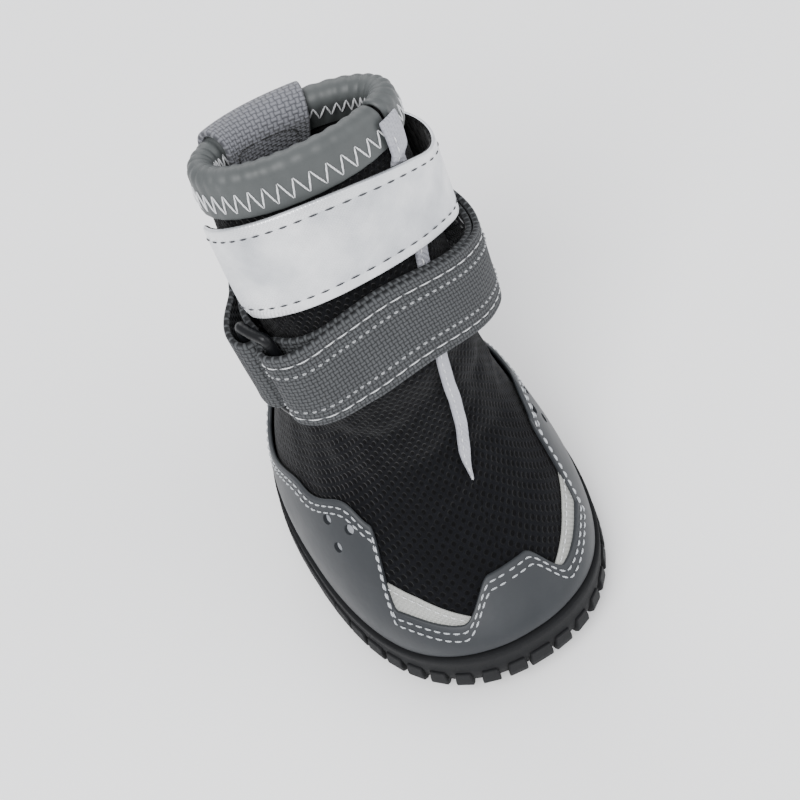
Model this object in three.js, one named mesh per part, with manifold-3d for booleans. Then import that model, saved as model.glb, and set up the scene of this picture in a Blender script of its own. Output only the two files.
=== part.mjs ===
// Dog boot: rubber cup sole, hollow mesh upper with a split front, wavy guard, rolled collar and two straps.
// Millimetres. +Z is up, the toe points along -Y, and +X is on the right when the toe faces the viewer.
import * as THREE from "three";
import { LoftGeometry } from "three/addons/geometries/LoftGeometry.js";
import { mergeVertices } from "three/addons/utils/BufferGeometryUtils.js";
import Module from "manifold-3d";

const wasm = await Module();
wasm.setup();

// Driving sizes.
const GAP = 0.3; // clearance between pieces that touch
const WALL = 2; // padded mesh of the upper
const INSOLE = 1.8;
const FLOOR = 5; // top of the sole's floor, flat part
const LUG = 2.4; // depth of the tread under the sole
const EDGE_LUGS = 44; // blocks round the edge of the sole
const TREAD_SIDE = 11; // side of a triangle of the tread, with its groove
const TREAD_GROOVE = 1.2;
const RIM = 2; // rubber rim round the foot
const TOE_BUMPER = 0.45; // how much higher the rim is at the toe, in sections
const TOE_SPRING = 4.5; // rise of the sole at the tip of the toe
const HEEL_RISE = 1.2;
const BALL_Y = -16; // where the toe spring starts
const TOE_Y = -41;
const HEEL_Y = 41;
const GUARD = 1;
const GUARD_GAP = 0.5; // wider than the others, for the hollow of the ankle
const BINDING = 1.1; // leather of the collar binding
const BINDING_DEPTH = 7;
const TAPE = 1.1; // edge tape of the front flap
const WEBBING = 1.2;
const STRAP_WIDTH = 20.5;
const RING_WIRE = 2.2;
const RING_INNER = 23; // length of the ring's window, a little over the strap's width
const TAB_WIDTH = 20; // pull tab at the back of the collar

// Sections of the upper from the sole to the collar. Each is an oval in the plane through a front and a back
// point: half is its half width, side moves it across, fore moves the widest place forward, power is squareness.
const SECTIONS = [
  { frontY: -41, frontZ: 5.3, backY: 40, backZ: 5.3, half: 26.8, side: 0, twist: 0, fore: -0.03, power: 2.35 },
  { frontY: -42, frontZ: 11.5, backY: 41, backZ: 11, half: 27.6, side: 0, twist: 0, fore: -0.03, power: 2.35 },
  { frontY: -40.5, frontZ: 18, backY: 40.6, backZ: 19, half: 27.2, side: 0, twist: 0, fore: -0.04, power: 2.3 },
  { frontY: -33.5, frontZ: 25, backY: 38.6, backZ: 28.5, half: 25.4, side: 0.2, twist: 2, fore: -0.03, power: 2.2 },
  { frontY: -23.4, frontZ: 31, backY: 36, backZ: 39, half: 22.8, side: 0.8, twist: 5, fore: 0, power: 2.15 },
  { frontY: -14, frontZ: 38, backY: 34, backZ: 49, half: 20.4, side: 1.8, twist: 8, fore: 0, power: 2.1 },
  { frontY: -8.6, frontZ: 47.5, backY: 32.6, backZ: 59, half: 19.2, side: 2.6, twist: 10, fore: 0, power: 2.1 },
  { frontY: -6.2, frontZ: 58, backY: 32, backZ: 69.5, half: 19.2, side: 2.6, twist: 12, fore: 0, power: 2.1 },
  { frontY: -4, frontZ: 70.5, backY: 31.6, backZ: 80.5, half: 19.6, side: 2.2, twist: 13, fore: 0, power: 2.1 },
  { frontY: 0, frontZ: 86, backY: 31, backZ: 91, half: 19.6, side: 1.8, twist: 10, fore: 0, power: 2.1 },
  { frontY: 4.6, frontZ: 102, backY: 30, backZ: 101.5, half: 19, side: 1.7, twist: 3, fore: 0, power: 2.1 },
  { frontY: 9.4, frontZ: 117, backY: 28.6, backZ: 110.5, half: 18.2, side: 1.6, twist: -6, fore: 0, power: 2.1 },
];
const TOP = SECTIONS.length - 1;
const RIM_LEVEL = 1; // section at the top of the rubber rim

const degrees = THREE.MathUtils.degToRad;
const smooth = THREE.MathUtils.smoothstep;
const mix = THREE.MathUtils.lerp;
const signedPower = (value, power) => Math.sign(value) * Math.abs(value) ** power;

// Smooth value of one column of a table at a fractional row.
function column(table, key, row) {
  const at = THREE.MathUtils.clamp(Math.floor(row), 0, table.length - 2);
  const [a, b, c, d] = [at - 1, at, at + 1, at + 2].map((i) => {
    const inside = THREE.MathUtils.clamp(i, 0, table.length - 1);
    return table[inside][key] + (i - inside) * (table[1][key] - table[0][key]) * (i < 0 ? 1 : 0);
  });
  const t = row - at;
  const [slopeB, slopeC] = [(c - a) / 2, (d - b) / 2];
  const [t2, t3] = [t * t, t * t * t];
  return (2 * t3 - 3 * t2 + 1) * b + (t3 - 2 * t2 + t) * slopeB + (3 * t2 - 2 * t3) * c + (t3 - t2) * slopeC;
}

// Value of a table at an angle round the boot, with round steps between its rows. Both sides are alike.
function byAngle(table, key, angle) {
  const away = Math.abs(THREE.MathUtils.radToDeg(Math.atan2(Math.sin(angle), Math.cos(angle))));
  const next = table.findIndex((row) => row.angle >= away);
  if (next <= 0) return table[Math.max(next, 0)][key];
  const [low, high] = [table[next - 1], table[next]];
  return mix(low[key], high[key], smooth(away, low.angle, high.angle));
}

// Rise of the sole and of all that lies on it, at the toe and a little at the heel.
function soleRise(y) {
  const toe = Math.max(0, (BALL_Y - y) / (BALL_Y - TOE_Y));
  const heel = Math.max(0, (y - 26) / (HEEL_Y - 26));
  return TOE_SPRING * toe ** 2 + HEEL_RISE * heel ** 2;
}

// Outside of the upper: angle 0 is the toe side, a quarter turn is +X, level is a fractional section number.
function wall(angle, level) {
  const value = (key) => column(SECTIONS, key, level);
  const power = 2 / value("power");
  const along = -signedPower(Math.cos(angle), power);
  const shifted = (1 + along - value("fore") * (1 - along * along)) / 2;
  const length = (value("backY") - value("frontY")) * (shifted - 0.5);
  const width = value("half") * signedPower(Math.sin(angle), power);
  const twist = degrees(value("twist"));
  const x = value("side") + width * Math.cos(twist) - length * Math.sin(twist);
  const y = (value("backY") + value("frontY")) / 2 + width * Math.sin(twist) + length * Math.cos(twist);
  const z = mix(value("frontZ"), value("backZ"), shifted);
  return new THREE.Vector3(x, y, z + soleRise(y) * (1 - smooth(level, 0, 4)));
}

// Frame of the wall at a place: out of the wall, up along it and round it.
function wallFrame(angle, level) {
  const [da, dl] = [0.01, 0.02];
  const low = Math.max(0, level - dl);
  const high = Math.min(TOP, level + dl);
  const round = wall(angle + da, level).sub(wall(angle - da, level)).normalize();
  const up = wall(angle, high).sub(wall(angle, low)).normalize();
  const out = new THREE.Vector3().crossVectors(round, up).normalize();
  return { out, up, round };
}

// Point that stands a lift out from the wall.
function lifted(angle, level, lift) {
  return wall(angle, level).addScaledVector(wallFrame(angle, level).out, lift);
}

// Level reached by going some millimetres along the wall from a level.
function climb(angle, from, distance) {
  if (distance === 0) return from;
  const step = 0.1 * Math.sign(distance);
  let [level, gone] = [from, 0];
  while (level + step >= 0 && level + step <= TOP) {
    const part = wall(angle, level + step).distanceTo(wall(angle, level));
    if (gone + part > Math.abs(distance)) return level + (step * (Math.abs(distance) - gone)) / part;
    gone += part;
    level += step;
  }
  return level;
}

// Closed solid from a loft geometry.
function solid(geometry) {
  const bare = new THREE.BufferGeometry();
  bare.setAttribute("position", geometry.getAttribute("position"));
  bare.setIndex(geometry.getIndex());
  const merged = mergeVertices(bare, 1e-4);
  const corners = [];
  for (let i = 0; i < merged.index.count; i += 3) {
    const face = [0, 1, 2].map((k) => merged.index.getX(i + k));
    if (new Set(face).size === 3) corners.push(...face);
  }
  const build = () =>
    new wasm.Manifold(
      new wasm.Mesh({
        numProp: 3,
        vertProperties: new Float32Array(merged.attributes.position.array),
        triVerts: new Uint32Array(corners),
      }),
    );
  const made = build();
  if (made.volume() > 0) return made;
  for (let i = 0; i < corners.length; i += 3) [corners[i], corners[i + 1]] = [corners[i + 1], corners[i]];
  return build();
}

// Loft through closed sections. A ring's last section meets its first, and other ends close to their middles.
function loft(sections, ring = false) {
  const pole = (section) => {
    const middle = section.reduce((sum, point) => sum.add(point), new THREE.Vector3());
    return section.map(() => middle.clone().divideScalar(section.length));
  };
  const ends = [pole(sections[0]), ...sections, pole(sections.at(-1))];
  return solid(new LoftGeometry(ring ? [...sections, sections[0]] : ends));
}

// Sheet of even thickness about a middle surface, which is a function of along and across, each from 0 to 1.
function sheet(middle, { along, across, thickness, ring = false }) {
  const normalAt = (s, t) => {
    const d = 0.002;
    const [s0, s1] = ring ? [s - d, s + d] : [Math.max(0, s - d), Math.min(1, s + d)];
    const [t0, t1] = [Math.max(0, t - d), Math.min(1, t + d)];
    const a = middle(s1, t).sub(middle(s0, t));
    const b = middle(s, t1).sub(middle(s, t0));
    return a.cross(b).normalize();
  };
  const sections = [];
  for (let i = 0; i < along + (ring ? 0 : 1); i++) {
    const s = i / along;
    const [upper, lower] = [[], []];
    for (let j = 0; j <= across; j++) {
      const normal = normalAt(s, j / across);
      upper.push(middle(s, j / across).addScaledVector(normal, thickness / 2));
      lower.unshift(middle(s, j / across).addScaledVector(normal, -thickness / 2));
    }
    sections.push([...upper, ...lower]);
  }
  return loft(sections, ring);
}

const turn = (share) => share * Math.PI * 2;
const around = (count, point) => Array.from({ length: count }, (_, i) => point(turn(i / count)));

// Level of the top of the rubber rim, which is higher at the toe.
const rimTop = (angle) => RIM_LEVEL + TOE_BUMPER * (1 - smooth(Math.abs(Math.sin(angle / 2)), 0.12, 0.5));

// The slit down the front: it starts on the vamp and moves round towards +X as it climbs.
const SLIT_START = 4.9;
const slitAngle = (level) => degrees(5 * smooth(level, 4.9, 6.2) + 47 * smooth(level, 7, 11.4));

// Place on the sole at an angle: grow is how far outside the rim's foot, or inside it when less than 0.
function soleEdge(angle, grow, height) {
  const here = wall(angle, RIM_LEVEL);
  const { round } = wallFrame(angle, RIM_LEVEL);
  const out = new THREE.Vector3(round.y, -round.x, 0).normalize();
  const inward = here.clone().lerp(new THREE.Vector3(0, here.y * 0.3, 0), Math.min(1, Math.max(0, -grow) / 28));
  const point = inward.addScaledVector(out, Math.max(0, grow));
  return point.setZ(height + soleRise(point.y));
}

function edgeLug(angle) {
  const half = 2.0 / 34; // half its width as an angle
  const section = (inner, outer, height, taper) =>
    [
      [inner, -half],
      [outer, -half],
      [outer, half],
      [inner, half],
    ].map(([grow, side]) => soleEdge(angle + side * taper, grow, height));
  return loft([section(-5, 1.6, 0, 0.92), section(-4, 2.9, 1.6, 1), section(-0.4, 2.9, 3.4, 1), section(1.2, 2.7, 6.6, 0.9)]);
}

// Triangles of the tread, in rows that point up and down in turn, one of them centred on the origin.
function treadLugs() {
  const lugs = [];
  const row = (TREAD_SIDE * Math.sqrt(3)) / 2;
  const size = TREAD_SIDE / Math.sqrt(3) - TREAD_GROOVE;
  for (let j = -5; j <= 5; j++) {
    for (let i = -8; i <= 8; i++) {
      const up = (i + j) % 2 === 0;
      const middle = new THREE.Vector2((i * TREAD_SIDE) / 2, j * row + (up ? 0 : row / 3));
      const corner = (k, height, taper) => {
        const angle = turn(k / 3) + (up ? Math.PI / 2 : -Math.PI / 2);
        const [x, y] = [middle.x + size * taper * Math.cos(angle), middle.y + size * taper * Math.sin(angle)];
        return new THREE.Vector3(x, y, height + soleRise(y));
      };
      const inside = [0, 1, 2].every((k) => {
        const point = corner(k, 0, 1);
        const towards = Math.atan2(point.x, -point.y);
        const edge = soleEdge(towards, -6.6, 0);
        return point.length() < Math.hypot(edge.x, edge.y) - 0.2;
      });
      const section = (height, taper) => [0, 1, 2].map((k) => corner(k, height, taper));
      if (inside) lugs.push(loft([section(0, 0.94), section(LUG + 1.3, 1)]));
    }
  }
  return lugs;
}

function outsole() {
  const count = 48;
  // From the underside out over the edge, up the rim, down inside it, and in across the floor.
  const sections = [
    { grow: -20, height: LUG },
    { grow: -8, height: LUG },
    { grow: 1.8, height: LUG },
    { grow: 2.2, height: 7.4 },
  ].map(({ grow, height }) => around(count, (angle) => soleEdge(angle, grow, height)));
  sections.push(around(count, (angle) => lifted(angle, rimTop(angle), GAP + RIM)));
  sections.push(around(count, (angle) => lifted(angle, rimTop(angle), GAP)));
  sections.push(around(count, (angle) => lifted(angle, rimTop(angle) / 2, 2 * GAP)));
  for (const share of [1, 0.7, 0.35]) {
    const floorPoint = (angle) => {
      const point = lifted(angle, 0, 2 * GAP).multiplyScalar(share);
      return point.setZ(FLOOR + soleRise(point.y));
    };
    sections.push(around(count, floorPoint));
  }
  const lugs = treadLugs();
  for (let i = 0; i < EDGE_LUGS; i++) lugs.push(edgeLug(evenAngle(i / EDGE_LUGS)));
  return lugs.reduce((body, lug) => body.add(lug), loft(sections));
}

// Angle at a share of the way round the edge of the sole, by length.
function evenAngle(share) {
  const steps = 360;
  const lengths = [0];
  for (let i = 1; i <= steps; i++) {
    const step = soleEdge(turn(i / steps), 0, 0).distanceTo(soleEdge(turn((i - 1) / steps), 0, 0));
    lengths.push(lengths[i - 1] + step);
  }
  const wanted = share * lengths[steps];
  const next = Math.max(1, lengths.findIndex((length) => length >= wanted));
  const part = (wanted - lengths[next - 1]) / (lengths[next] - lengths[next - 1]);
  return turn((next - 1 + part) / steps);
}

function insole() {
  const count = 48;
  const edge = (share, height) =>
    around(count, (angle) => {
      const point = lifted(angle, 0, -WALL - GAP).multiplyScalar(share);
      return point.setZ(FLOOR + 2 * GAP + height + soleRise(point.y));
    });
  return loft([edge(0.6, 0), edge(1, 0), edge(1, INSOLE), edge(0.6, INSOLE)]);
}

function upper() {
  const [count, levels] = [48, 18];
  const sections = [];
  for (let i = 0; i <= levels; i++) {
    sections.push(around(count, (angle) => lifted(angle, (TOP * i) / levels, 0)));
    sections.unshift(around(count, (angle) => lifted(angle, (TOP * i) / levels, -WALL)));
  }
  const slit = sheet((s, t) => {
    const level = mix(SLIT_START, TOP, s);
    const point = lifted(slitAngle(level), level, mix(-WALL - 1, 1, t));
    return s === 1 ? point.addScaledVector(wallFrame(slitAngle(level), TOP).up, 1) : point;
  }, { along: 12, across: 1, thickness: 0.8 });
  return loft(sections, true).subtract(slit);
}

// Cloth that backs the slit, inside the upper and below the collar binding.
function innerFlap() {
  const thickness = 1;
  const width = degrees(13);
  const high = climb(slitAngle(TOP), TOP, -BINDING_DEPTH - 1.5);
  const middle = (s, t) => {
    const level = mix(SLIT_START - 0.5, high, s);
    return lifted(slitAngle(level) + mix(-width, width, t), level, -WALL - GAP - thickness / 2);
  };
  return sheet(middle, { along: 12, across: 4, thickness });
}

// Folded tape along the slit. It narrows to a point on the vamp and climbs over the collar binding.
function frontTape() {
  const bindingFoot = climb(slitAngle(TOP), TOP, -BINDING_DEPTH);
  const middle = (s, t) => {
    const level = mix(SLIT_START - 0.15, TOP, s);
    const lift = 1.8 * GAP + TAPE / 2 + (BINDING + GAP) * smooth(level, bindingFoot - 0.25, bindingFoot - 0.02);
    const width = mix(0.6, 2.6, smooth(level, SLIT_START - 0.15, SLIT_START + 0.5)) + 1.4 * smooth(level, 8, 10);
    const angle = slitAngle(level);
    const radius = wall(angle + 0.01, level).distanceTo(wall(angle, level)) / 0.01;
    return lifted(angle + (width * (t - 0.5)) / radius, level, lift);
  };
  return sheet(middle, { along: 22, across: 2, thickness: TAPE });
}

// Wave along the top of the guard: how far it rises above the rim at angles from the toe, alike on both sides.
const GUARD_TOP = [
  { angle: 0, rise: 16.5 },
  { angle: 8, rise: 16.5 },
  { angle: 23, rise: 8.5 },
  { angle: 49, rise: 10.5 },
  { angle: 57, rise: 27 },
  { angle: 68, rise: 28.5 },
  { angle: 92, rise: 22 },
  { angle: 120, rise: 14.5 },
  { angle: 128, rise: 14.5 },
  { angle: 150, rise: 25 },
  { angle: 180, rise: 27 },
];
const GUARD_HOLES = [
  { angle: 78, rise: 21.5 },
  { angle: 67, rise: 23.5 },
  { angle: 72.5, rise: 17.5 },
];
const HOLE = 2.3;

function guard() {
  const middle = (s, t) => {
    const angle = turn(s);
    const low = climb(angle, rimTop(angle), GAP + 0.1);
    const high = climb(angle, RIM_LEVEL, byAngle(GUARD_TOP, "rise", angle));
    return lifted(angle, mix(low, high, t), GUARD_GAP + GUARD / 2);
  };
  let body = sheet(middle, { along: 96, across: 3, thickness: GUARD, ring: true });
  for (const { angle, rise } of GUARD_HOLES) {
    for (const side of [-1, 1]) {
      const place = side * degrees(angle);
      const level = climb(place, RIM_LEVEL, rise);
      const drill = new THREE.CylinderGeometry(HOLE / 2, HOLE / 2, 6, 14);
      drill.applyQuaternion(
        new THREE.Quaternion().setFromUnitVectors(new THREE.Vector3(0, 1, 0), wallFrame(place, level).out),
      );
      drill.translate(...lifted(place, level, GUARD));
      body = body.subtract(solid(drill));
    }
  }
  return body;
}

// Point of a band folded over the collar's edge, by its length from the outside foot, at a distance from the wall.
function overEdge(angle, length, leg, away) {
  const radius = WALL / 2 + away;
  const arc = Math.PI * radius;
  if (length < leg) return lifted(angle, climb(angle, TOP, length - leg - 1e-6), away);
  if (length > leg + arc) return lifted(angle, climb(angle, TOP, leg + arc - length - 1e-6), -WALL - away);
  const { out, up } = wallFrame(angle, TOP);
  const fold = (length - leg) / radius;
  const centre = lifted(angle, TOP, -WALL / 2);
  return centre.addScaledVector(out, radius * Math.cos(fold)).addScaledVector(up, radius * Math.sin(fold));
}

function collarBinding() {
  const away = GAP + BINDING / 2;
  const total = 2 * BINDING_DEPTH + Math.PI * (WALL / 2 + away);
  const gap = degrees(1.6);
  const from = slitAngle(TOP) + gap;
  const middle = (s, t) => overEdge(from + s * (turn(1) - 2 * gap), t * total, BINDING_DEPTH, away);
  return sheet(middle, { along: 40, across: 8, thickness: BINDING });
}

function pullTab() {
  const leg = 13;
  const away = GAP + BINDING + GAP + WEBBING / 2;
  const total = 2 * leg + Math.PI * (WALL / 2 + away);
  const centre = degrees(-163);
  const radius = wall(centre + 0.01, TOP).distanceTo(wall(centre, TOP)) / 0.01;
  const middle = (s, t) => overEdge(centre + (TAB_WIDTH * (t - 0.5)) / radius, s * total, leg, away);
  return sheet(middle, { along: 16, across: 4, thickness: WEBBING });
}

// Middle line of each strap, as a level at angles round the shaft from -X to +X.
const UPPER_LINE = [
  { angle: -95, level: 9.5 },
  { angle: -50, level: 9.85 },
  { angle: 0, level: 9.92 },
  { angle: 45, level: 9.55 },
  { angle: 75, level: 9.05 },
  { angle: 120, level: 8.7 },
  { angle: 165, level: 8.75 },
];
const LOWER_LINE = [
  { angle: -130, level: 7.4 },
  { angle: -75, level: 7.9 },
  { angle: 0, level: 8.5 },
  { angle: 45, level: 7.9 },
  { angle: 75, level: 7.2 },
  { angle: 120, level: 6.8 },
  { angle: 165, level: 6.65 },
];
// How far the middle of each layer stands off the shaft. The straps hang slack on the +X side.
const UPPER_LIFT = [
  { angle: -88, lift: 2.2 },
  { angle: -60, lift: 2.3 },
  { angle: -20, lift: 2.6 },
  { angle: 50, lift: 2.7 },
  { angle: 95, lift: 5 },
  { angle: 125, lift: 4 },
  { angle: 162, lift: 1 },
];
const LOWER_LIFT = [
  { angle: -66, lift: 2.5 },
  { angle: 15, lift: 2.6 },
  { angle: 60, lift: 4.6 },
  { angle: 95, lift: 6 },
  { angle: 125, lift: 4.6 },
  { angle: 162, lift: 1 },
];

// Straight steps through a table whose rows go round from -X to +X.
function roundValue(table, key, angle) {
  const at = THREE.MathUtils.radToDeg(angle);
  const next = THREE.MathUtils.clamp(table.findIndex((row) => row.angle > at), 1, table.length - 1);
  if (at >= table.at(-1).angle) return table.at(-1)[key];
  const [low, high] = [table[next - 1], table[next]];
  return mix(low[key], high[key], smooth(at, low.angle, high.angle));
}

// Point across a strap: share is 0 at its lower edge and 1 at its upper edge.
function strapPoint(line, angle, share, lift, width = STRAP_WIDTH) {
  const level = climb(angle, roundValue(line, "level", angle), (share - 0.5) * width);
  return lifted(angle, level, lift);
}

function upperStrap() {
  const corner = 4; // rounded lower corner of the free end
  const middle = (s, t) => {
    const low = Math.max(0, corner - t * STRAP_WIDTH);
    const cut = corner - Math.sqrt(corner ** 2 - low ** 2);
    const angle = mix(degrees(-88) + cut / 20, degrees(162), s);
    return strapPoint(UPPER_LINE, angle, t, roundValue(UPPER_LIFT, "lift", angle));
  };
  return sheet(middle, { along: 30, across: 4, thickness: WEBBING });
}

const RING_ANGLE = degrees(-70); // bar in the fold of the strap
const SHAFT_RADIUS = 19; // turns lengths round the front of the shaft into angles
const FOLD = RING_WIRE / 2 + 2 * GAP + WEBBING / 2; // radius of the webbing round a bar
const BAR_STEP = 2 * (FOLD + WEBBING / 2) + 2 * GAP; // from the strap's bar to the tab's bar
const RING_LIFT = 2.5 + FOLD;

// Half turn of webbing round a bar of the ring: side is +1 on the strap's side and -1 on the tab's.
function foldPoint(bar, side, turned, share, width) {
  const angle = bar - (side * FOLD * Math.sin(turned)) / SHAFT_RADIUS;
  return strapPoint(LOWER_LINE, angle, share, RING_LIFT - FOLD * Math.cos(turned), width);
}

function lowerStrap() {
  const [start, end] = [degrees(162), degrees(128)];
  const layer = WEBBING + GAP;
  const lift = (angle) => roundValue(LOWER_LIFT, "lift", angle);
  const middle = (s, t) => {
    if (s < 0.45) {
      const angle = mix(start, RING_ANGLE, s / 0.45);
      return strapPoint(LOWER_LINE, angle, t, lift(angle));
    }
    if (s < 0.55) return foldPoint(RING_ANGLE, 1, (Math.PI * (s - 0.45)) / 0.1, t, STRAP_WIDTH);
    const angle = mix(RING_ANGLE, end, (s - 0.55) / 0.45);
    const rest = 1 - smooth(angle, RING_ANGLE, RING_ANGLE + degrees(34));
    return strapPoint(LOWER_LINE, angle, t, lift(angle) + layer + (2 * FOLD - layer) * rest);
  };
  return sheet(middle, { along: 54, across: 1, thickness: WEBBING });
}

function strapTab() {
  const bar = RING_ANGLE - BAR_STEP / SHAFT_RADIUS;
  const end = degrees(-128);
  const middle = (s, t) => {
    const back = (part) => mix(bar, end, part);
    const settle = (part) => smooth(part, 0, 0.8);
    if (s < 0.4) return strapPoint(LOWER_LINE, back(1 - s / 0.4), t, mix(2.5, 1, settle(1 - s / 0.4)));
    if (s < 0.6) return foldPoint(bar, -1, (Math.PI * (s - 0.4)) / 0.2, t, STRAP_WIDTH);
    const part = (s - 0.6) / 0.4;
    return strapPoint(LOWER_LINE, back(part), t, mix(2.5 + 2 * FOLD, 1 + WEBBING + GAP, settle(part)));
  };
  return sheet(middle, { along: 26, across: 2, thickness: WEBBING });
}

function ring() {
  const [sides, steps] = [8, 28];
  const centre = RING_ANGLE - BAR_STEP / 2 / SHAFT_RADIUS;
  // Stadium round the window, as places across the strap and round the shaft.
  const halfLong = RING_INNER / 2 + RING_WIRE / 2;
  const path = (s) => {
    const turned = turn(s);
    const across = halfLong * Math.sign(Math.sin(turned)) * Math.abs(Math.sin(turned)) ** 0.35;
    const round = (BAR_STEP / 2) * Math.sign(Math.cos(turned)) * Math.abs(Math.cos(turned)) ** 0.2;
    return strapPoint(LOWER_LINE, centre + round / SHAFT_RADIUS, 0.5 + across / STRAP_WIDTH, RING_LIFT);
  };
  const sections = [];
  for (let i = 0; i < steps; i++) {
    const s = i / steps;
    const ahead = path(s + 0.002).sub(path(s - 0.002)).normalize();
    const out = wallFrame(centre, roundValue(LOWER_LINE, "level", centre)).out;
    const side = new THREE.Vector3().crossVectors(ahead, out).normalize();
    const up = new THREE.Vector3().crossVectors(side, ahead);
    const spoke = (angle) =>
      path(s)
        .addScaledVector(side, (Math.cos(angle) * RING_WIRE) / 2)
        .addScaledVector(up, (Math.sin(angle) * RING_WIRE) / 2);
    sections.push(around(sides, spoke));
  }
  return loft(sections, true);
}

const group = new THREE.Group();
group.name = "dog_boot";

function add(name, body, colour, roughness) {
  const mesh = body.getMesh();
  const geometry = new THREE.BufferGeometry();
  geometry.setAttribute("position", new THREE.BufferAttribute(mesh.vertProperties, 3));
  geometry.setIndex(new THREE.BufferAttribute(mesh.triVerts, 1));
  geometry.computeVertexNormals();
  const material = new THREE.MeshStandardMaterial({ color: colour, roughness, metalness: 0 });
  const piece = new THREE.Mesh(geometry, material);
  piece.name = name;
  group.add(piece);
}

add("outsole", outsole(), "#1a1c1f", 0.8);
add("insole", insole(), "#141518", 0.95);
add("upper", upper(), "#0a0b0e", 0.95);
add("inner_flap", innerFlap(), "#0a0b0e", 0.95);
add("guard", guard(), "#5f646b", 0.55);
add("collar_binding", collarBinding(), "#6a6f6f", 0.5);
add("pull_tab", pullTab(), "#85868c", 0.8);
add("front_tape", frontTape(), "#b9bac2", 0.5);
add("upper_strap", upperStrap(), "#e3e5e8", 0.35);
add("lower_strap", lowerStrap(), "#5a5c5c", 0.85);
add("strap_tab", strapTab(), "#5a5c5c", 0.85);
add("ring", ring(), "#15161a", 0.4);

export default group;
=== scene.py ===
# Dog boot: padded mesh upper on a rubber cup sole, with a wavy guard, two straps, a ring and a pull tab.
# Metres, +Z up, toe towards -Y. Lengths called mm are turned into metres where points are made.
import math
import bmesh
import bpy
import numpy as np
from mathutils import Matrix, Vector


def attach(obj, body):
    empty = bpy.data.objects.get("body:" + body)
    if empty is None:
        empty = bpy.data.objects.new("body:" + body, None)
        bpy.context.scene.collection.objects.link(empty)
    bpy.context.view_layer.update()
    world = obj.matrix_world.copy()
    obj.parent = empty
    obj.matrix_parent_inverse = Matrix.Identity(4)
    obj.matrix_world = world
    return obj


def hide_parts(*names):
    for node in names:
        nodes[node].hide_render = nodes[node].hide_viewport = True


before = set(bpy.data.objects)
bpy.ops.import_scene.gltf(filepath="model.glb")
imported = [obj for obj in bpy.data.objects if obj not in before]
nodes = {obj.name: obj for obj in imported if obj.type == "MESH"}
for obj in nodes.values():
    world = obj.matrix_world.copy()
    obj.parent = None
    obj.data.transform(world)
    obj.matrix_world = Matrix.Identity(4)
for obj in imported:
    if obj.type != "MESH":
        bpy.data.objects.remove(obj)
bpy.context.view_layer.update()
bpy.ops.object.select_all(action="DESELECT")

# the form of the boot, in mm
# rows from the sole to the collar: front y, front z, back y, back z, half width, side, twist, fore, power
lastShape = np.array([
    (-41, 5.3, 40, 5.3, 26.8, 0, 0, -0.03, 2.35),
    (-42, 11.5, 41, 11, 27.6, 0, 0, -0.03, 2.35),
    (-40.5, 18, 40.6, 19, 27.2, 0, 0, -0.04, 2.3),
    (-33.5, 25, 38.6, 28.5, 25.4, 0.2, 2, -0.03, 2.2),
    (-23.4, 31, 36, 39, 22.8, 0.8, 5, 0, 2.15),
    (-14, 38, 34, 49, 20.4, 1.8, 8, 0, 2.1),
    (-8.6, 47.5, 32.6, 59, 19.2, 2.6, 10, 0, 2.1),
    (-6.2, 58, 32, 69.5, 19.2, 2.6, 12, 0, 2.1),
    (-4, 70.5, 31.6, 80.5, 19.6, 2.2, 13, 0, 2.1),
    (0, 86, 31, 91, 19.6, 1.8, 10, 0, 2.1),
    (4.6, 102, 30, 101.5, 19, 1.7, 3, 0, 2.1),
    (9.4, 117, 28.6, 110.5, 18.2, 1.6, -6, 0, 2.1),
], dtype=float)
topRow = len(lastShape) - 1
form = dict(gap=0.3, wall=2.0, floor=5.0, rim=2.0, bumper=0.45, ballY=-16.0, toeY=-41.0, heelY=41.0)


def smooth(x, low, high):
    t = np.clip((np.asarray(x, dtype=float) - low) / (high - low), 0, 1)
    return t * t * (3 - 2 * t)


def mix(a, b, t):
    return a + (b - a) * t


def rowValue(level):
    level = np.asarray(level, dtype=float)
    at = np.clip(np.floor(level), 0, topRow - 1).astype(int)
    pick = lambda i: lastShape[np.clip(i, 0, topRow)]
    below = np.where((at - 1 < 0)[..., None], 2 * lastShape[0] - lastShape[1], pick(at - 1))
    b, c, d = pick(at), pick(at + 1), pick(at + 2)
    t = (level - at)[..., None]
    slopeB, slopeC = (c - below) / 2, (d - b) / 2
    t2, t3 = t * t, t * t * t
    return (2 * t3 - 3 * t2 + 1) * b + (t3 - 2 * t2 + t) * slopeB + (3 * t2 - 2 * t3) * c + (t3 - t2) * slopeC


def soleRise(y):
    toe = np.maximum(0, (form["ballY"] - y) / (form["ballY"] - form["toeY"]))
    heel = np.maximum(0, (y - 26) / (form["heelY"] - 26))
    return 4.5 * toe ** 2 + 1.2 * heel ** 2


def wallAt(angle, level):
    angle, level = np.broadcast_arrays(np.asarray(angle, dtype=float), np.asarray(level, dtype=float))
    row = rowValue(level)
    frontY, frontZ, backY, backZ, half, side, twist, fore, power = np.moveaxis(row, -1, 0)
    p = 2 / power
    along = -np.sign(np.cos(angle)) * np.abs(np.cos(angle)) ** p
    shifted = (1 + along - fore * (1 - along * along)) / 2
    length = (backY - frontY) * (shifted - 0.5)
    width = half * np.sign(np.sin(angle)) * np.abs(np.sin(angle)) ** p
    turned = np.radians(twist)
    x = side + width * np.cos(turned) - length * np.sin(turned)
    y = (backY + frontY) / 2 + width * np.sin(turned) + length * np.cos(turned)
    z = mix(frontZ, backZ, shifted) + soleRise(y) * (1 - smooth(level, 0, 4))
    return np.stack([x, y, z], -1)


def unit(v):
    return v / np.maximum(np.linalg.norm(v, axis=-1, keepdims=True), 1e-9)


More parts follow.
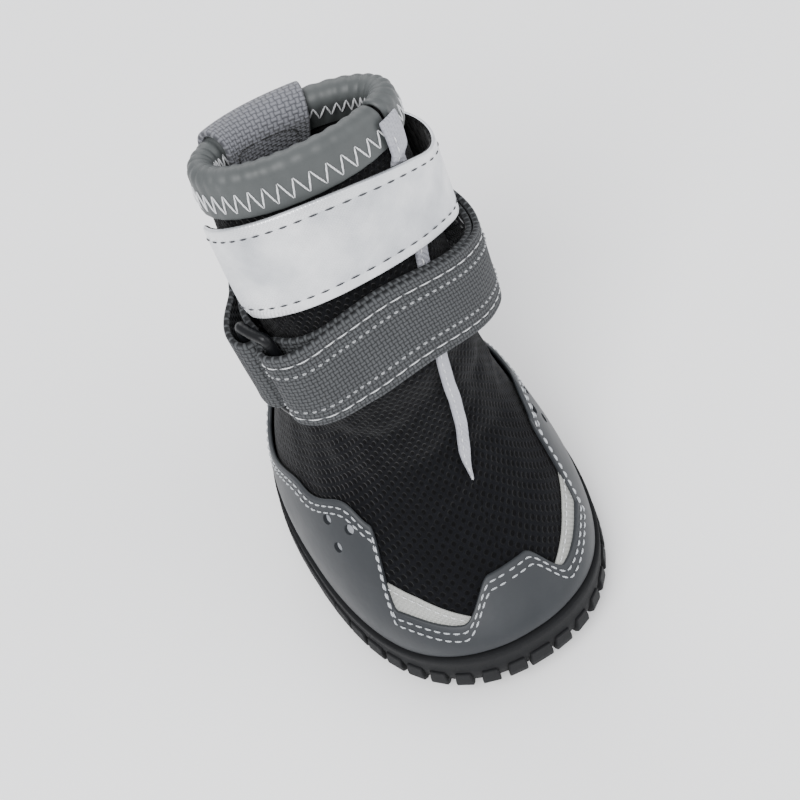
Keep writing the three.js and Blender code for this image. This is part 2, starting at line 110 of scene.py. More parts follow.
def wallOut(angle, level):
    around = wallAt(np.asarray(angle) + 0.02, level) - wallAt(np.asarray(angle) - 0.02, level)
    level = np.asarray(level, dtype=float)
    up = wallAt(angle, np.minimum(topRow, level + 0.02)) - wallAt(angle, np.maximum(0, level - 0.02))
    return unit(np.cross(unit(around), unit(up)))


def lifted(angle, level, lift):
    return wallAt(angle, level) + wallOut(angle, level) * np.asarray(lift, dtype=float)[..., None]


# lengths up the wall, so that widths in mm can be laid along it
tableAngles = np.radians(np.arange(-360, 361, 2.0))
tableLevels = np.linspace(0, topRow, 331)
tableWall = wallAt(tableAngles[:, None], tableLevels[None, :])
tableLength = np.concatenate([np.zeros((len(tableAngles), 1)),
                              np.cumsum(np.linalg.norm(np.diff(tableWall, axis=1), axis=2), axis=1)], axis=1)


def climb(angle, level, distance):
    angle, level, distance = np.broadcast_arrays(angle, level, distance)
    flat = []
    for a, l, d in zip(np.ravel(angle), np.ravel(level), np.ravel(distance)):
        place = (a - tableAngles[0]) / (tableAngles[1] - tableAngles[0])
        i = int(min(max(math.floor(place), 0), len(tableAngles) - 2))
        lengths = mix(tableLength[i], tableLength[i + 1], place - i)
        flat.append(np.interp(np.interp(l, tableLevels, lengths) + d, lengths, tableLevels))
    return np.array(flat).reshape(np.shape(angle))


def byAngle(table, angle):
    away = np.abs(np.degrees(np.arctan2(np.sin(angle), np.cos(angle))))
    return stepped(table, away)


def stepped(table, at):
    at = np.asarray(at, dtype=float)
    value = np.full(at.shape, float(table[0][1]))
    for (a, low), (b, high) in zip(table[:-1], table[1:]):
        value = np.where(at >= a, mix(low, high, smooth(at, a, b)), value)
    return value


def flowing(table, at):
    xs, ys = (np.array(column, dtype=float) for column in zip(*table))
    slopes = np.gradient(ys, xs)
    at = np.clip(at, xs[0], xs[-1])
    k = np.clip(np.searchsorted(xs, at, side="right") - 1, 0, len(xs) - 2)
    span = xs[k + 1] - xs[k]
    t = (at - xs[k]) / span
    return ((2 * t ** 3 - 3 * t ** 2 + 1) * ys[k] + (t ** 3 - 2 * t ** 2 + t) * span * slopes[k]
            + (3 * t ** 2 - 2 * t ** 3) * ys[k + 1] + (t ** 3 - t ** 2) * span * slopes[k + 1])


def rimTop(angle):
    return 1 + form["bumper"] * (1 - smooth(np.abs(np.sin(np.asarray(angle) / 2)), 0.12, 0.5))


def slitAngle(level):
    return np.radians(5 * smooth(level, 4.9, 6.2) + 47 * smooth(level, 7, 11.4))


# makers
def makeObject(name, points, faces, uvs=None, materials=(), slots=None, angle=40):
    mesh = bpy.data.meshes.new(name)
    mesh.from_pydata([tuple(p) for p in np.asarray(points) / 1000], [], faces)
    if uvs is not None:
        layer = mesh.uv_layers.new(name="cloth")
        corner = np.array([i for face in faces for i in face])
        layer.data.foreach_set("uv", np.asarray(uvs, dtype=float)[corner].ravel())
    for material in materials:
        mesh.materials.append(material)
    if slots is not None:
        mesh.polygons.foreach_set("material_index", slots)
    piece = bpy.data.objects.new(name, mesh)
    bpy.context.collection.objects.link(piece)
    mend = bmesh.new()
    mend.from_mesh(mesh)
    bmesh.ops.remove_doubles(mend, verts=mend.verts, dist=1e-6)
    bmesh.ops.dissolve_degenerate(mend, edges=mend.edges, dist=1e-7)
    bmesh.ops.recalc_face_normals(mend, faces=mend.faces)
    mend.to_mesh(mesh)
    mend.free()
    bpy.ops.object.select_all(action="DESELECT")
    piece.select_set(True)
    bpy.context.view_layer.objects.active = piece
    bpy.ops.object.shade_smooth_by_angle(angle=math.radians(angle))
    piece.select_set(False)
    return piece


def settle(piece, slotName, *replaced):
    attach(piece, "root")
    if replaced:
        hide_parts(*replaced)
    return piece


def gridFaces(rows, columns, closeRows, closeColumns):
    faces = []
    for i in range(rows if closeRows else rows - 1):
        for j in range(columns if closeColumns else columns - 1):
            a, b = i * columns + j, i * columns + (j + 1) % columns
            c, d = ((i + 1) % rows) * columns + (j + 1) % columns, ((i + 1) % rows) * columns + j
            faces.append((a, b, c, d))
    return faces


def sheetPiece(name, middle, along, width, thickness, materials, ring=False, edge=0.45, across=16):
    # middle(s, t) gives the middle surface in mm for arrays s and t, and the rims of the sheet are rounded
    s = np.linspace(0, 1, along, endpoint=not ring)
    lead = np.array([0.0, 0.12, 0.35, 0.7, 1.0]) * edge
    inner = np.linspace(edge, width - edge, across)[1:-1]
    places = np.concatenate([lead, inner, width - lead[::-1]])
    rounding = np.sqrt(np.clip(1 - (1 - np.clip(np.minimum(places, width - places) / edge, 0, 1)) ** 2, 0, 1))
    t = places / width
    S, T = np.meshgrid(s, t, indexing="ij")
    d = 0.003
    sLow, sHigh = (S - d, S + d) if ring else (np.clip(S - d, 0, 1), np.clip(S + d, 0, 1))
    du = middle(sHigh, T) - middle(sLow, T)
    dv = middle(S, np.clip(T + d, 0, 1)) - middle(S, np.clip(T - d, 0, 1))
    normal = unit(np.cross(du, dv))
    centre = middle(S, T)
    half = thickness / 2 * rounding[None, :]
    if not ring:
        ends = np.minimum(1, np.minimum(np.arange(along), np.arange(along)[::-1]) / 2.0 + 0.35)
        half = half * ends[:, None]
    upper = centre + normal * half[..., None]
    lower = centre - normal * half[..., None]
    count = len(places)
    ringPoints = np.concatenate([upper, lower[:, ::-1]], axis=1)
    rows, columns = ringPoints.shape[:2]
    faces = gridFaces(rows, columns, ring, True)
    if not ring:
        for end in (0, rows - 1):
            base = end * columns
            faces += [(base + k, base + k + 1, base + columns - 2 - k, base + columns - 1 - k)
                      for k in range(count - 1)]
    lengthAlong = np.concatenate([[0], np.cumsum(np.linalg.norm(np.diff(centre[:, count // 2], axis=0), axis=1))])
    u = np.repeat(lengthAlong[:, None], columns, axis=1) / 100
    v = np.repeat(np.concatenate([t, t[::-1]])[None, :], rows, axis=0)
    uvs = np.stack([u, v], -1).reshape(-1, 2)
    slots = [0] * len(faces)
    if len(materials) > 1:
        slots = [1 if min(i % columns for i in face) >= count else 0 for face in faces]
    piece = makeObject(name, ringPoints.reshape(-1, 3), faces, uvs, materials, slots)
    return piece, float(lengthAlong[-1])


def threadPiece(name, paths, radius, material, sides=6, closed=False):
    points, faces = [], []
    for path in paths:
        path = np.asarray(path, dtype=float)
        rows = len(path)
        if closed:
            ahead = unit(np.roll(path, -1, axis=0) - np.roll(path, 1, axis=0))
        else:
            ahead = unit(np.gradient(path, axis=0))
        guess = np.where(np.abs(ahead[:, 2:3]) > 0.9, [[1.0, 0, 0]], [[0, 0, 1.0]])
        sideways = unit(np.cross(ahead, guess))
        upright = np.cross(sideways, ahead)
        base = len(points)
        for k in range(rows):
            size = radius * (0.45 if not closed and k in (0, rows - 1) else 1)
            for m in range(sides):
                turned = 2 * math.pi * m / sides
                points.append(path[k] + size * (math.cos(turned) * sideways[k] + math.sin(turned) * upright[k]))
        faces += [tuple(base + i for i in face) for face in gridFaces(rows, sides, closed, True)]
        if not closed:
            faces.append(tuple(base + m for m in range(sides)))
            faces.append(tuple(base + (rows - 1) * sides + m for m in range(sides)))
    return makeObject(name, points, faces, None, (material,))


def stitchRow(place, total, pitch, share=0.68, steps=4):
    paths = []
    for k in range(int(total / pitch)):
        start = k * pitch
        paths.append(place(np.linspace(start, start + pitch * share, steps), np.array([0, 1, 1, 0][:steps]) * 1.0))
    return paths


# materials
def group(name, inputs, outputs):
    tree = bpy.data.node_groups.new(name, "ShaderNodeTree")
    for label, kind, value in inputs:
        socket = tree.interface.new_socket(name=label, in_out="INPUT", socket_type=kind)
        if value is not None:
            socket.default_value = value
    for label, kind in outputs:
        tree.interface.new_socket(name=label, in_out="OUTPUT", socket_type=kind)
    source = tree.nodes.new("NodeGroupInput")
    target = tree.nodes.new("NodeGroupOutput")
    return tree, source, target


def calculate(tree, operation, a, b=None, clamp=False):
    node = tree.nodes.new("ShaderNodeMath")
    node.operation = operation
    node.use_clamp = clamp
    for slotIndex, value in enumerate((a, b)):
        if value is None:
            continue
        if isinstance(value, (int, float)):
            node.inputs[slotIndex].default_value = value
        else:
            tree.links.new(value, node.inputs[slotIndex])
    return node.outputs[0]


def noise(tree, vector, scale, detail=4, rough=0.55, out="Fac"):
    node = tree.nodes.new("ShaderNodeTexNoise")
    tree.links.new(vector, node.inputs["Vector"])
    if isinstance(scale, (int, float)):
        node.inputs["Scale"].default_value = scale
    else:
        tree.links.new(scale, node.inputs["Scale"])
    node.inputs["Detail"].default_value = detail
    node.inputs["Roughness"].default_value = rough
    return node.outputs[out]


def blendColour(tree, factor, a, b):
    node = tree.nodes.new("ShaderNodeMix")
    node.data_type = "RGBA"
    for socket, value in ((node.inputs[0], factor), (node.inputs[6], a), (node.inputs[7], b)):
        if isinstance(value, (int, float)):
            socket.default_value = value
        elif isinstance(value, tuple):
            socket.default_value = value
        else:
            tree.links.new(value, socket)
    return node.outputs[2]


def weaveGroup():
    tree, source, target = group("plainWeave",
                                 [("Vector", "NodeSocketVector", None), ("Warp", "NodeSocketFloat", 60.0),
                                  ("Weft", "NodeSocketFloat", 60.0)],
                                 [("Height", "NodeSocketFloat"), ("Over", "NodeSocketFloat")])
    parts = tree.nodes.new("ShaderNodeSeparateXYZ")
    tree.links.new(source.outputs["Vector"], parts.inputs[0])
    u = calculate(tree, "MULTIPLY", parts.outputs[0], source.outputs["Warp"])
    v = calculate(tree, "MULTIPLY", parts.outputs[1], source.outputs["Weft"])
    bumpU = calculate(tree, "ABSOLUTE", calculate(tree, "SINE", calculate(tree, "MULTIPLY", u, math.pi)))
    bumpV = calculate(tree, "ABSOLUTE", calculate(tree, "SINE", calculate(tree, "MULTIPLY", v, math.pi)))
    check = calculate(tree, "MODULO",
                      calculate(tree, "ADD", calculate(tree, "FLOOR", u), calculate(tree, "FLOOR", v)), 2)
    over = calculate(tree, "ABSOLUTE", check)
    under = calculate(tree, "SUBTRACT", 1, over)
    high = calculate(tree, "ADD",
                     calculate(tree, "MULTIPLY", bumpU, over), calculate(tree, "MULTIPLY", bumpV, under))
    tree.links.new(high, target.inputs["Height"])
    tree.links.new(over, target.inputs["Over"])
    return tree


def fuzzGroup():
    tree, source, target = group("clothFuzz",
                                 [("Vector", "NodeSocketVector", None), ("Fine", "NodeSocketFloat", 2500.0),
                                  ("Coarse", "NodeSocketFloat", 260.0)],
                                 [("Flecks", "NodeSocketFloat"), ("Patches", "NodeSocketFloat"),
                                  ("Height", "NodeSocketFloat")])
    fine = noise(tree, source.outputs["Vector"], source.outputs["Fine"], 6, 0.7)
    coarse = noise(tree, source.outputs["Vector"], source.outputs["Coarse"], 3)
    flecks = calculate(tree, "MULTIPLY", calculate(tree, "SUBTRACT", fine, 0.56), 6, clamp=True)
    tree.links.new(flecks, target.inputs["Flecks"])
    tree.links.new(coarse, target.inputs["Patches"])
    tree.links.new(calculate(tree, "ADD", fine, calculate(tree, "MULTIPLY", coarse, 0.5)), target.inputs["Height"])
    return tree


def grainGroup():
    tree, source, target = group("leatherGrain",
                                 [("Vector", "NodeSocketVector", None), ("Size", "NodeSocketFloat", 900.0)],
                                 [("Height", "NodeSocketFloat"), ("Tone", "NodeSocketFloat")])
    cells = tree.nodes.new("ShaderNodeTexVoronoi")
    cells.feature = "SMOOTH_F1"
    tree.links.new(source.outputs["Vector"], cells.inputs["Vector"])
    tree.links.new(source.outputs["Size"], cells.inputs["Scale"])
    soft = noise(tree, source.outputs["Vector"], 420, 3)
    tree.links.new(calculate(tree, "ADD", cells.outputs["Distance"], soft), target.inputs["Height"])
    tree.links.new(noise(tree, source.outputs["Vector"], 90, 4), target.inputs["Tone"])
    return tree


def wearGroup():
    tree, source, target = group("edgeDust",
                                 [("Vector", "NodeSocketVector", None), ("Amount", "NodeSocketFloat", 0.3)],
                                 [("Mask", "NodeSocketFloat")])
    geometry = tree.nodes.new("ShaderNodeNewGeometry")
    raised = calculate(tree, "MULTIPLY",
                       calculate(tree, "SUBTRACT", geometry.outputs["Pointiness"], 0.5), 9, clamp=True)
    cloudy = noise(tree, source.outputs["Vector"], 160, 5, 0.65)
    dusty = calculate(tree, "MULTIPLY", calculate(tree, "SUBTRACT", cloudy, 0.48), 3, clamp=True)
    total = calculate(tree, "ADD", raised, dusty)
    tree.links.new(calculate(tree, "MULTIPLY", total, source.outputs["Amount"], clamp=True), target.inputs["Mask"])
    return tree


weaveNodes, fuzzNodes, grainNodes, wearNodes = weaveGroup(), fuzzGroup(), grainGroup(), wearGroup()


def startMaterial(name, colour, roughness, sheen=0.0, specular=0.5):
    material = bpy.data.materials.new(name)
    material.use_nodes = True
    tree = material.node_tree
    shader = tree.nodes["Principled BSDF"]
    shader.inputs["Base Color"].default_value = (*colour, 1)
    shader.inputs["Roughness"].default_value = roughness
    shader.inputs["Specular IOR Level"].default_value = specular
    if sheen:
        shader.inputs["Sheen Weight"].default_value = sheen
        shader.inputs["Sheen Roughness"].default_value = 0.5
    place = tree.nodes.new("ShaderNodeTexCoord")
    return material, tree, shader, place


def addGroup(tree, groupTree, vector, **values):
    node = tree.nodes.new("ShaderNodeGroup")
    node.node_tree = groupTree
    tree.links.new(vector, node.inputs["Vector"])
    for label, value in values.items():
        node.inputs[label].default_value = value
    return node


def addBump(tree, shader, height, strength, distance):
    node = tree.nodes.new("ShaderNodeBump")
    node.inputs["Strength"].default_value = strength
    node.inputs["Distance"].default_value = distance
    tree.links.new(height, node.inputs["Height"])
    tree.links.new(node.outputs[0], shader.inputs["Normal"])


def rgb(code):
    channels = [int(code[i:i + 2], 16) / 255 for i in (1, 3, 5)]
    return tuple(c / 12.92 if c <= 0.04045 else ((c + 0.055) / 1.055) ** 2.4 for c in channels)


def colour4(code):
    return (*rgb(code), 1)


def netGroup():
    tree, source, target = group("openNet",
                                 [("Vector", "NodeSocketVector", None), ("Pitch", "NodeSocketFloat", 0.022)],
                                 [("Cord", "NodeSocketFloat"), ("Hole", "NodeSocketFloat")])
    parts = tree.nodes.new("ShaderNodeSeparateXYZ")
    tree.links.new(source.outputs["Vector"], parts.inputs[0])
    u = calculate(tree, "DIVIDE", parts.outputs[0], source.outputs["Pitch"])
    v = calculate(tree, "DIVIDE", parts.outputs[1], source.outputs["Pitch"])
    first = calculate(tree, "SINE", calculate(tree, "MULTIPLY", calculate(tree, "ADD", u, v), math.pi))
    second = calculate(tree, "SINE", calculate(tree, "MULTIPLY", calculate(tree, "SUBTRACT", u, v), math.pi))
    hole = calculate(tree, "ABSOLUTE", calculate(tree, "MULTIPLY", first, second))
    opening = calculate(tree, "MULTIPLY", calculate(tree, "SUBTRACT", hole, 0.42), 3.2, clamp=True)
    tree.links.new(opening, target.inputs["Hole"])
    tree.links.new(calculate(tree, "SUBTRACT", 1, opening), target.inputs["Cord"])
    return tree


netNodes = netGroup()


def netCloth(name, code, light):
    material, tree, shader, place = startMaterial(name, rgb(code), 0.95, 0.06, 0.12)
    net = addGroup(tree, netNodes, place.outputs["UV"])
    fuzz = addGroup(tree, fuzzNodes, place.outputs["Object"], Fine=2600.0)
    flecks = calculate(tree, "MULTIPLY",
                       calculate(tree, "MULTIPLY", fuzz.outputs["Flecks"], net.outputs["Cord"]), 0.5)
    shownCord = calculate(tree, "ADD", flecks, calculate(tree, "MULTIPLY", net.outputs["Cord"], 0.22), clamp=True)
    patched = calculate(tree, "MULTIPLY", shownCord,
                        calculate(tree, "ADD", fuzz.outputs["Patches"], 0.35), clamp=True)
    tree.links.new(blendColour(tree, patched, colour4(code), colour4(light)), shader.inputs["Base Color"])
    height = calculate(tree, "ADD", net.outputs["Cord"], calculate(tree, "MULTIPLY", fuzz.outputs["Height"], 0.5))
    addBump(tree, shader, height, 0.8, 0.0004)
    return material


def meshCloth(name, code, light, fine=2300.0, bump=0.5, sheen=0.05):
    material, tree, shader, place = startMaterial(name, rgb(code), 0.95, sheen, 0.15)
    fuzz = addGroup(tree, fuzzNodes, place.outputs["Object"], Fine=fine)
    knit = tree.nodes.new("ShaderNodeTexVoronoi")
    knit.inputs["Scale"].default_value = 760
    stretch = tree.nodes.new("ShaderNodeMapping")
    stretch.inputs["Scale"].default_value = (1, 1, 0.55)
    tree.links.new(place.outputs["Object"], stretch.inputs[0])
    tree.links.new(stretch.outputs[0], knit.inputs["Vector"])
    holes = calculate(tree, "MULTIPLY",
                      calculate(tree, "SUBTRACT", knit.outputs["Distance"], 0.25), 1.6, clamp=True)
    flecks = calculate(tree, "MULTIPLY", fuzz.outputs["Flecks"], 0.55, clamp=True)
    toned = blendColour(tree, flecks, colour4(code), colour4(light))
    patched = blendColour(tree, calculate(tree, "MULTIPLY", fuzz.outputs["Patches"], 0.35), toned, colour4(code))
    tree.links.new(patched, shader.inputs["Base Color"])
    height = calculate(tree, "ADD", calculate(tree, "MULTIPLY", fuzz.outputs["Height"], 0.6), holes)
    addBump(tree, shader, height, bump, 0.0003)
    return material


def grainLeather(name, code, darker, size=900.0, roughness=0.5, bump=0.35, wear=0.25, light="#9a9fa4"):
    material, tree, shader, place = startMaterial(name, rgb(code), roughness, 0, 0.32)
    grain = addGroup(tree, grainNodes, place.outputs["Object"], Size=size)
    dust = addGroup(tree, wearNodes, place.outputs["Object"], Amount=wear)
    toned = blendColour(tree, grain.outputs["Tone"], colour4(darker), colour4(code))
    worn = blendColour(tree, dust.outputs["Mask"], toned, colour4(light))
    tree.links.new(worn, shader.inputs["Base Color"])
    rough = calculate(tree, "ADD", roughness - 0.12, calculate(tree, "MULTIPLY", grain.outputs["Tone"], 0.24))
    tree.links.new(rough, shader.inputs["Roughness"])
    addBump(tree, shader, grain.outputs["Height"], bump, 0.00012)
    return material


def bandMask(tree, v, centre, half):
    away = calculate(tree, "ABSOLUTE", calculate(tree, "SUBTRACT", v, centre))
    return calculate(tree, "LESS_THAN", away, half)


def webbingCloth(name, code, dark, warp, weft, bump=0.9, sheen=0.15, roughness=0.85):
    material, tree, shader, place = startMaterial(name, rgb(code), roughness, sheen, 0.3)
    weave = addGroup(tree, weaveNodes, place.outputs["UV"], Warp=warp, Weft=weft)
    cloudy = noise(tree, place.outputs["Object"], 220, 4)
    # painted shade: the colour runs from the dark colour in the weave's low grooves to the base colour on the raised
    # ribs
    toned = blendColour(tree, weave.outputs["Height"], colour4(dark), colour4(code))
    toned = blendColour(tree, calculate(tree, "MULTIPLY", cloudy, 0.3), toned, colour4(dark))
    tree.links.new(toned, shader.inputs["Base Color"])
    fine = noise(tree, place.outputs["Object"], 3200, 3)
    addBump(tree, shader,
            calculate(tree, "ADD", weave.outputs["Height"], calculate(tree, "MULTIPLY", fine, 0.4)),
            bump, 0.00022)
    return material


def tapeCloth(name, code, dark, roughness, warp, weft, metallic=0.0, bump=0.35, edges=()):
    material, tree, shader, place = startMaterial(name, rgb(code), roughness, 0, 0.5)
    shader.inputs["Metallic"].default_value = metallic
    weave = addGroup(tree, weaveNodes, place.outputs["UV"], Warp=warp, Weft=weft)
    cloudy = noise(tree, place.outputs["Object"], 55, 4)
    # painted sheen and shade: cloudy patches lighten the tape towards its base colour and darken it towards the dark
    # colour
    paintedSheen = calculate(tree, "MULTIPLY", calculate(tree, "SUBTRACT", cloudy, 0.34), 3, clamp=True)
    toned = blendColour(tree, paintedSheen, colour4(dark), colour4(code))
    parts = tree.nodes.new("ShaderNodeSeparateXYZ")
    tree.links.new(place.outputs["UV"], parts.inputs[0])
    for centre, half in edges:
        toned = blendColour(tree, calculate(tree, "MULTIPLY", bandMask(tree, parts.outputs[1], centre, half), 0.35), toned,
                            colour4("#f4f5f6"))
    tree.links.new(toned, shader.inputs["Base Color"])
    rough = calculate(tree, "ADD", roughness - 0.1, calculate(tree, "MULTIPLY", cloudy, 0.22))
    tree.links.new(rough, shader.inputs["Roughness"])
    height = calculate(tree, "ADD", weave.outputs["Height"], calculate(tree, "MULTIPLY", cloudy, 2.2))
    addBump(tree, shader, height, bump, 0.0002)
    return material


def rubber(name, code, light, roughness=0.72, wear=0.22):
    material, tree, shader, place = startMaterial(name, rgb(code), roughness, 0, 0.22)
    dust = addGroup(tree, wearNodes, place.outputs["Object"], Amount=wear)
    fine = noise(tree, place.outputs["Object"], 2600, 5, 0.6)
    tree.links.new(blendColour(tree, dust.outputs["Mask"], colour4(code), colour4(light)),
                   shader.inputs["Base Color"])
    tree.links.new(calculate(tree, "ADD", roughness - 0.12, calculate(tree, "MULTIPLY", fine, 0.24)),
                   shader.inputs["Roughness"])
    addBump(tree, shader, fine, 0.35, 0.0001)
    return material


def threadStuff(name, code, dark):
    material, tree, shader, place = startMaterial(name, rgb(code), 0.7, 0.2, 0.35)
    ply = tree.nodes.new("ShaderNodeTexWave")
    ply.inputs["Scale"].default_value = 900
    ply.inputs["Distortion"].default_value = 1.5
    tree.links.new(place.outputs["Object"], ply.inputs["Vector"])
    tree.links.new(blendColour(tree, ply.outputs["Fac"], colour4(dark), colour4(code)), shader.inputs["Base Color"])
    addBump(tree, shader, ply.outputs["Fac"], 0.5, 0.0001)
    return material


blackMesh = netCloth("blackMesh", "#040405", "#202228")
blackLining = meshCloth("blackLining", "#050506", "#17181c", fine=1500.0, bump=0.7, sheen=0.1)
slateGuard = grainLeather("slateGuard", "#2e3134", "#27292c", 700.0, 0.5, 0.2, 0.12, "#46494c")
greyBinding = grainLeather("greyBinding", "#4d5050", "#404343", 620.0, 0.48, 0.35, 0.12, "#66696a")
strapWebbing = webbingCloth("strapWebbing", "#505254", "#131416", 115.0, 20.0, 1.0, 0.0)
tabWebbing = webbingCloth("tabWebbing", "#7c7d83", "#3f4045", 130.0, 20.0)
silverStrap = tapeCloth("silverStrap", "#f7f8fa", "#b4b8be", 0.33, 260.0, 60.0, 0.55, 0.25,
                        ((0.06, 0.05), (0.94, 0.05)))
silverTape = tapeCloth("silverTape", "#bcbdc5", "#9b9ca4", 0.48, 160.0, 8.0, 0.1, 0.6)
reflective = tapeCloth("reflectiveStrip", "#abaca8", "#92938f", 0.5, 220.0, 12.0, 0.1, 0.4)
soleRubber = rubber("soleRubber", "#0e0f11", "#2b2c2e", 0.78, 0.08)
hardPlastic = rubber("blackPlastic", "#0d0e10", "#25262a", 0.35, 0.1)
footbed = meshCloth("footbedCloth", "#131417", "#33353a", fine=1800.0, bump=0.6)
lightThread = threadStuff("lightThread", "#c9ccce", "#90949a")
whiteThread = threadStuff("whiteThread", "#e8e9ea", "#b6b8bb")
paleThread = threadStuff("paleThread", "#a9abad", "#7a7c7f")
darkThread = threadStuff("darkThread", "#34363b", "#1d1e22")
blackThread = threadStuff("blackThread", "#101114", "#050506")
holeLining = meshCloth("holeLining", "#9a9da2", "#c3c5c8", fine=1700.0, bump=0.5)
print("materials made")

# upper
upperCare = dict(around=240, levels=160, slitGap=0.45)
# creases: angle, level, half length in degrees, half height in levels, depth in mm, slope of the line
creases = [
    (-8, 5.6, 32, 0.20, -0.7, 0.010), (14, 5.15, 26, 0.16, -0.55, -0.012), (-30, 6.3, 26, 0.2, -0.6, 0.014),
    (38, 6.1, 24, 0.2, -0.55, -0.012), (0, 6.9, 45, 0.22, -0.5, 0.004), (-70, 5.8, 22, 0.22, -0.6, 0.01),
    (76, 5.7, 22, 0.22, -0.6, -0.01), (150, 6.2, 30, 0.24, -0.7, 0.004), (-150, 6.0, 30, 0.24, -0.7, 0.004),
    (100, 7.6, 22, 0.2, -0.5, 0.02), (-110, 9.0, 24, 0.2, -0.5, -0.01), (-16, 4.35, 20, 0.16, -0.4, 0.016),
    (24, 3.9, 18, 0.16, -0.3, -0.014), (-40, 10.4, 16, 0.16, -0.35, 0.01),
]
ridges = [(-4, 4.75, 26, 0.2, 0.45, 0.0), (0, 7.4, 40, 0.2, 0.4, 0.0), 
          (60, 5.3, 20, 0.2, 0.3, 0), (-58, 5.3, 20, 0.2, 0.3, 0)]


def upperSwell(angle, level):
    at = np.degrees(np.arctan2(np.sin(angle), np.cos(angle)))
    total = np.zeros(np.broadcast(at, level).shape)
    for centre, row, wide, high, depth, slope in creases + ridges:
        away = (at - centre + 180) % 360 - 180
        bend = row + slope * away + 0.05 * np.sin(away / 7.0)
        total += depth * np.exp(-(away / wide) ** 2 - ((level - bend) / high) ** 2)
    total += 0.12 * np.sin(at / 3.1 + level * 2.3) * smooth(level, 3, 5) * (1 - smooth(level, 10, 10.8))
    return np.clip(total, -0.8, 0.42)


def makeUpper():
    count, rows = upperCare["around"], upperCare["levels"]
    s = np.linspace(0, 1, count + 1)
    levels = np.linspace(0, topRow, rows + 1)
    L, S = np.meshgrid(levels, s, indexing="ij")
    reach = np.linalg.norm(wallAt(slitAngle(levels) + 0.01, levels) - wallAt(slitAngle(levels), levels),
                           axis=1) / 0.01
    opening = (smooth(levels, 4.9, 5.2) * upperCare["slitGap"] / reach)[:, None]
    A = slitAngle(L) + opening + S * (2 * math.pi - 2 * opening)
    outside = lifted(A, L, np.where(L > 1.2, upperSwell(A, L), 0))
    inside = lifted(A, L, -form["wall"] + 0 * L)
    seam = int(np.searchsorted(levels, 4.9))
    columns = count + 1
    points = np.concatenate([outside.reshape(-1, 3), inside.reshape(-1, 3)])
    offset = (rows + 1) * columns
    faces, slots = [], []
    for i in range(rows):
        for j in range(count):
            a, b, c, d = i * columns + j, i * columns + j + 1, (i + 1) * columns + j + 1, (i + 1) * columns + j
            faces.append((a, b, c, d))
            slots.append(0)
            faces.append((offset + d, offset + c, offset + b, offset + a))
            slots.append(1)
        if i >= seam:
            for j in (0, count):
                a, d = i * columns + j, (i + 1) * columns + j
                faces.append((a, d, offset + d, offset + a))
                slots.append(1)
    for i in (0, rows):
        for j in range(count):
            a, b = i * columns + j, i * columns + j + 1
            faces.append((a, b, offset + b, offset + a))
            slots.append(1)
    length = np.concatenate([[0], np.cumsum(
        np.linalg.norm(np.diff(wallAt(1.2 + 0 * levels, levels), axis=0), axis=1))])
    u, v = A.ravel() * 0.24, np.repeat(length / 100, count + 1)
    uvs = np.stack([np.concatenate([u, u]), np.concatenate([v, v])], -1)
    piece = makeObject("upper_shell", points, faces, uvs, (blackMesh, blackLining), slots)
    return settle(piece, "upper", "upper")


makeUpper()
print("upper made")

# flap, tape, guard
def flapMiddle(s, t):
    high = climb(slitAngle(topRow), float(topRow), -8.5)
    level = mix(4.4, high, s)
    return lifted(slitAngle(level) + mix(-math.radians(13), math.radians(13), t), level,
                  -form["wall"] - 0.8 + 0 * level)


flap, flapLength = sheetPiece("slit_flap", flapMiddle, 90, 9, 1.0, (blackLining,))
settle(flap, "inner_flap", "inner_flap")

tapeCare = dict(start=4.75, thickness=1.1, binding=1.1)
bindingFoot = float(climb(slitAngle(topRow), float(topRow), -7.0))


def tapeFrame(s, across, extra=0.0):
    level = mix(tapeCare["start"], topRow, s)
    lift = 0.54 + tapeCare["thickness"] / 2 + 1.4 * smooth(level, bindingFoot - 0.25, bindingFoot - 0.02) + extra
    lift = lift + 0.12 * np.sin(level * 9.0) * smooth(level, 5.2, 6)
    width = mix(0.6, 2.6, smooth(level, 4.75, 5.4)) + 1.4 * smooth(level, 8, 10)
    angle = slitAngle(level)
    radius = np.linalg.norm(wallAt(angle + 0.01, level) - wallAt(angle, level), axis=-1) / 0.01
    return lifted(angle + width * across / radius, level, lift)


tape, tapeLength = sheetPiece("front_edge_tape", lambda s, t: tapeFrame(s, t - 0.5),
                              150, 2.9, 1.1, (silverTape,), across=8)
settle(tape, "front_tape", "front_tape")
tapeStitches = stitchRow(lambda d, bow: tapeFrame(d / tapeLength, -0.22 + 0 * d, 0.5 + 0.12 * bow),
                         tapeLength * 0.97, 2.1, 0.6)
settle(threadPiece("tape_stitches", tapeStitches, 0.14, whiteThread), "front_tape")

guardTop = [(0, 16.5), (8, 16.5), (23, 8.5), (49, 10.5), (57, 27), (68, 28.5), (92, 22), (120, 14.5), (128, 14.5),
            (150, 25), (180, 27)]
guardHoles = [(78, 21.5), (67, 23.5), (72.5, 17.5)]
guardCare = dict(gap=0.5, thickness=1.0, hole=2.3)


def guardMiddle(s, t, drop=0.0, lift=0.0):
    angle = np.asarray(s) * 2 * math.pi
    low = climb(angle, rimTop(angle), form["gap"] + 0.1)
    high = climb(angle, 1.0, byAngle(guardTop, angle) - drop)
    return lifted(angle, mix(low, high, t), guardCare["gap"] + guardCare["thickness"] / 2 + lift + 0 * angle)


